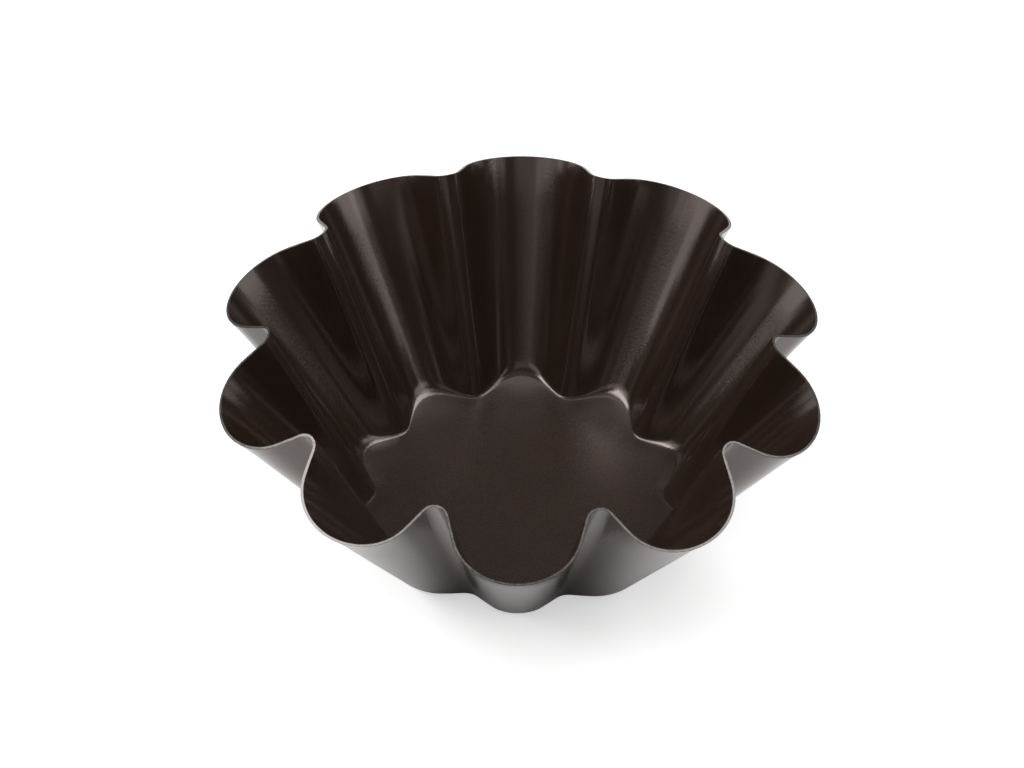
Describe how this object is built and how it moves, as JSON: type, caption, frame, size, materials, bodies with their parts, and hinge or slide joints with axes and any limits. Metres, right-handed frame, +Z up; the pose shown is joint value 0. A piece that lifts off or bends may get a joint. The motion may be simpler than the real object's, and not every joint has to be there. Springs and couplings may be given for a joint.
{
  "type": "brioche mould",
  "caption": "Fluted brioche mould of pressed, non-stick coated steel sheet: a flat floor and flaring rounded lobes that rise to a scalloped, sheared rim, for baking a small loaf.",
  "frame": {"origin": "centre of the underside, on the surface that the mould stands on", "axes": "+Z up along the mould's own axis, -Y towards the lobe that faces the viewer in the picture"},
  "size_m": [0.0772, 0.08, 0.0291],
  "materials": {
    "outer_coat": "semi-gloss baked non-stick film, warm brown-black",
    "bare_steel": "bare cold-rolled sheet, seen only on the sheared rim",
    "inner_coat": "semi-gloss baked non-stick film, warm brown-black"
  },
  "bodies": {
    "root": {"outer_nonstick_coat": "outer_coat", "pressed_steel_shell": "bare_steel", "inner_nonstick_coat": "inner_coat"}
  },
  "joints": []
}
